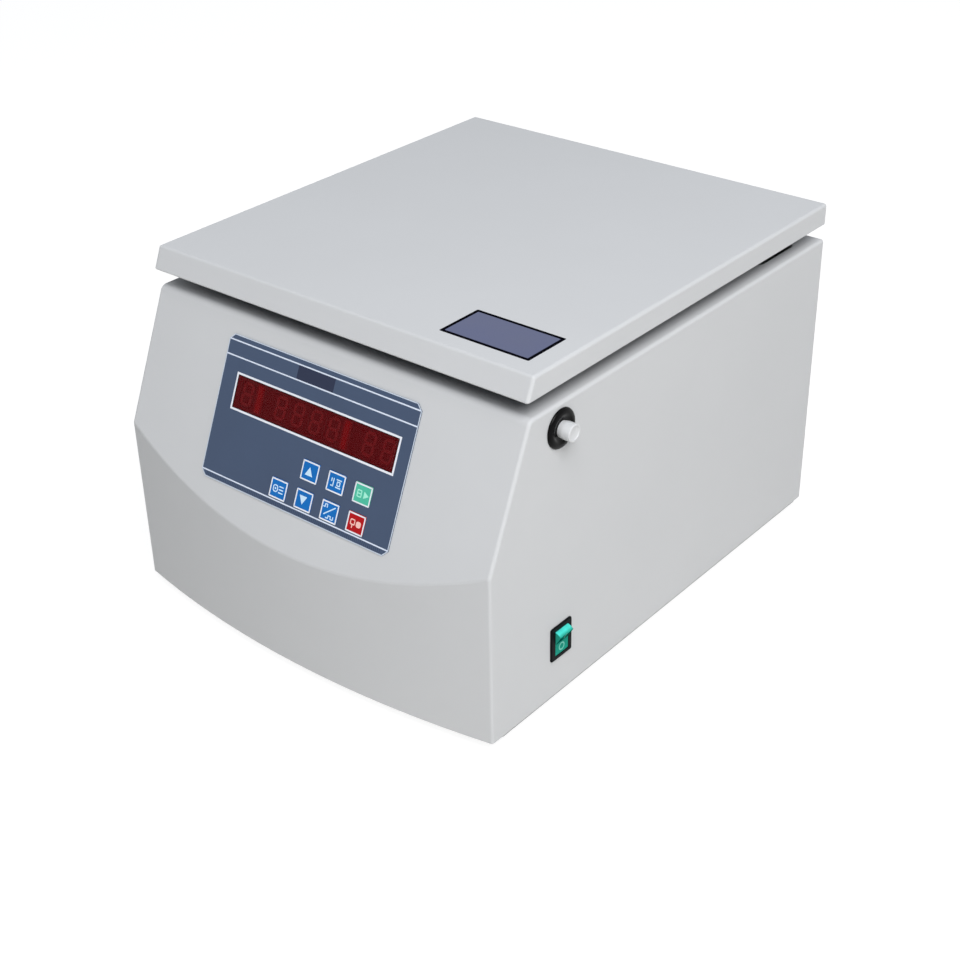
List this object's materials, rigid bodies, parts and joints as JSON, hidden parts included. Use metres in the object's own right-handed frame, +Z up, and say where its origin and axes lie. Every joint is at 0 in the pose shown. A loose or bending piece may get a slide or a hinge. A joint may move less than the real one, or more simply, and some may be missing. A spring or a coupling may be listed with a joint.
{
  "type": "laboratory centrifuge",
  "caption": "Low-speed bench centrifuge with a swing-out rotor, hinged lid, latch, display and membrane keys.",
  "frame": {"origin": "centre of the footprint of the whole object, on the bench", "axes": "+X to the right as seen from the front, +Y to the back, +Z up"},
  "size_m": [0.4486, 0.5404, 0.3394],
  "materials": {
    "housing_paint": "cool grey-white powder coat, fine texture",
    "pan_steel": "dark grey paint",
    "panel_steel": "plain sheet steel",
    "foot_rubber": "black rubber",
    "screw_steel": "zinc-plated steel",
    "inlet_plastic": "black moulded plastic",
    "hinge_steel": "plated steel",
    "spring_steel": "spring steel",
    "bezel_plastic": "gloss black moulded plastic",
    "knob_plastic": "white moulded plastic",
    "bowl_steel": "spun stainless steel",
    "seal_rubber": "black soft rubber",
    "rotor_alloy": "machined alloy",
    "bucket_alloy": "satin alloy",
    "nut_alloy": "dark anodised alloy",
    "shaft_steel": "ground steel",
    "motor_alloy": "cast alloy",
    "stator_iron": "laminated iron with copper windings",
    "magnet_iron": "magnets on an iron core",
    "bearing_steel": "polished bearing steel",
    "overlay_film": "slate blue printed film",
    "display_tint": "dark red tinted window",
    "board": "circuit board",
    "key_blue": "blue key",
    "key_green": "green key",
    "key_red": "red key",
    "switch_plastic": "black moulded plastic",
    "rocker_plastic": "teal green translucent plastic",
    "sink_alloy": "extruded alloy"
  },
  "bodies": {
    "housing": {"housing_shell": "housing_paint", "base_pan": "pan_steel", "rear_panel": "panel_steel", "rubber_feet": "foot_rubber", "base_screws": "screw_steel", "rear_screws": "screw_steel", "power_inlet": "inlet_plastic", "fuse_drawer": "inlet_plastic", "hinge_bracket_right": "hinge_steel", "hinge_bracket_left": "hinge_steel", "hinge_pin_right": "shaft_steel", "hinge_pin_left": "shaft_steel", "hinge_spring_right": "spring_steel", "hinge_spring_left": "spring_steel", "latch_bracket": "hinge_steel", "latch_spring": "spring_steel", "knob_bezel": "bezel_plastic", "lid_sensor": "switch_plastic", "chamber_bowl": "bowl_steel", "bowl_gasket": "seal_rubber", "shaft_boot": "seal_rubber", "motor_housing": "motor_alloy", "motor_stator": "stator_iron", "motor_bearings": "bearing_steel", "motor_plate": "panel_steel", "motor_dampers": "seal_rubber", "panel_overlay": "overlay_film", "display_window": "display_tint", "display_module": "board", "control_board": "board", "switch_bezel": "switch_plastic", "switch_body": "switch_plastic", "drive_board": "board", "heat_sink": "sink_alloy"},
    "lid": {"lid_shell": "housing_paint", "lid_liner": "panel_steel", "lid_screws": "screw_steel", "hinge_arm_right": "hinge_steel", "hinge_arm_left": "hinge_steel", "lid_striker": "hinge_steel"},
    "latch": {"latch_bolt": "shaft_steel", "pull_rod": "shaft_steel", "release_knob": "knob_plastic"},
    "rotor": {"drive_shaft": "shaft_steel", "magnet_rotor": "magnet_iron", "rotor_yoke": "rotor_alloy", "trunnion_pins": "shaft_steel", "rotor_nut": "nut_alloy"},
    "power_rocker": {"switch_rocker": "rocker_plastic"},
    "bucket_1": {"bucket_1": "bucket_alloy"},
    "bucket_2": {"bucket_2": "bucket_alloy"},
    "bucket_3": {"bucket_3": "bucket_alloy"},
    "bucket_4": {"bucket_4": "bucket_alloy"},
    "key_set": {"key_set": "key_blue"},
    "key_down": {"key_down": "key_blue"},
    "key_pulse": {"key_pulse": "key_blue"},
    "key_stop": {"key_stop": "key_red"},
    "key_up": {"key_up": "key_blue"},
    "key_select": {"key_select": "key_blue"},
    "key_start": {"key_start": "key_green"}
  },
  "joints": [
    {"name": "lid_hinge", "type": "hinge", "parent": "housing", "child": "lid", "pos_m": [-0.00675, 0.23225, 0.266], "axis": [-1, 0, 0], "range_deg": [0, 75], "stiffness_Nm_per_rad": 5, "springref_deg": 103.13},
    {"name": "latch_pull", "type": "slide", "parent": "housing", "child": "latch", "axis": [1, 0, 0], "range_m": [0, 0.011], "stiffness_N_per_m": 500, "springref_m": -0.012, "deforming": ["latch_spring"]},
    {"name": "rotor_spin", "type": "hinge", "parent": "housing", "child": "rotor", "pos_m": [-0.00675, 0.05025, 0.261], "axis": [0, 0, 1], "continuous": true},
    {"name": "power_rocker_tilt", "type": "hinge", "parent": "housing", "child": "power_rocker", "pos_m": [0.20795, -0.15365, 0.0687], "axis": [0, -1, 0], "range_deg": [0, 30]},
    {"name": "bucket_1_swing", "type": "hinge", "parent": "rotor", "child": "bucket_1", "pos_m": [0.07625, 0.05025, 0.261], "axis": [0, -1, 0], "range_deg": [0, 90]},
    {"name": "bucket_2_swing", "type": "hinge", "parent": "rotor", "child": "bucket_2", "pos_m": [-0.00675, 0.13325, 0.261], "axis": [1, 0, 0], "range_deg": [0, 90]},
    {"name": "bucket_3_swing", "type": "hinge", "parent": "rotor", "child": "bucket_3", "pos_m": [-0.08975, 0.05025, 0.261], "axis": [0, 1, 0], "range_deg": [0, 90]},
    {"name": "bucket_4_swing", "type": "hinge", "parent": "rotor", "child": "bucket_4", "pos_m": [-0.00675, -0.03275, 0.261], "axis": [-1, 0, 0], "range_deg": [0, 90]},
    {"name": "key_set_press", "type": "slide", "parent": "housing", "child": "key_set", "axis": [0, 0.9156, -0.4021], "range_m": [0, 0.0005], "stiffness_N_per_m": 400, "springref_m": -0.002},
    {"name": "key_down_press", "type": "slide", "parent": "housing", "child": "key_down", "axis": [0, 0.9156, -0.4021], "range_m": [0, 0.0005], "stiffness_N_per_m": 400, "springref_m": -0.002},
    {"name": "key_pulse_press", "type": "slide", "parent": "housing", "child": "key_pulse", "axis": [0, 0.9156, -0.4021], "range_m": [0, 0.0005], "stiffness_N_per_m": 400, "springref_m": -0.002},
    {"name": "key_stop_press", "type": "slide", "parent": "housing", "child": "key_stop", "axis": [0, 0.9156, -0.4021], "range_m": [0, 0.0005], "stiffness_N_per_m": 400, "springref_m": -0.002},
    {"name": "key_up_press", "type": "slide", "parent": "housing", "child": "key_up", "axis": [0, 0.9156, -0.4021], "range_m": [0, 0.0005], "stiffness_N_per_m": 400, "springref_m": -0.002},
    {"name": "key_select_press", "type": "slide", "parent": "housing", "child": "key_select", "axis": [0, 0.9156, -0.4021], "range_m": [0, 0.0005], "stiffness_N_per_m": 400, "springref_m": -0.002},
    {"name": "key_start_press", "type": "slide", "parent": "housing", "child": "key_start", "axis": [0, 0.9156, -0.4021], "range_m": [0, 0.0005], "stiffness_N_per_m": 400, "springref_m": -0.002}
  ]
}
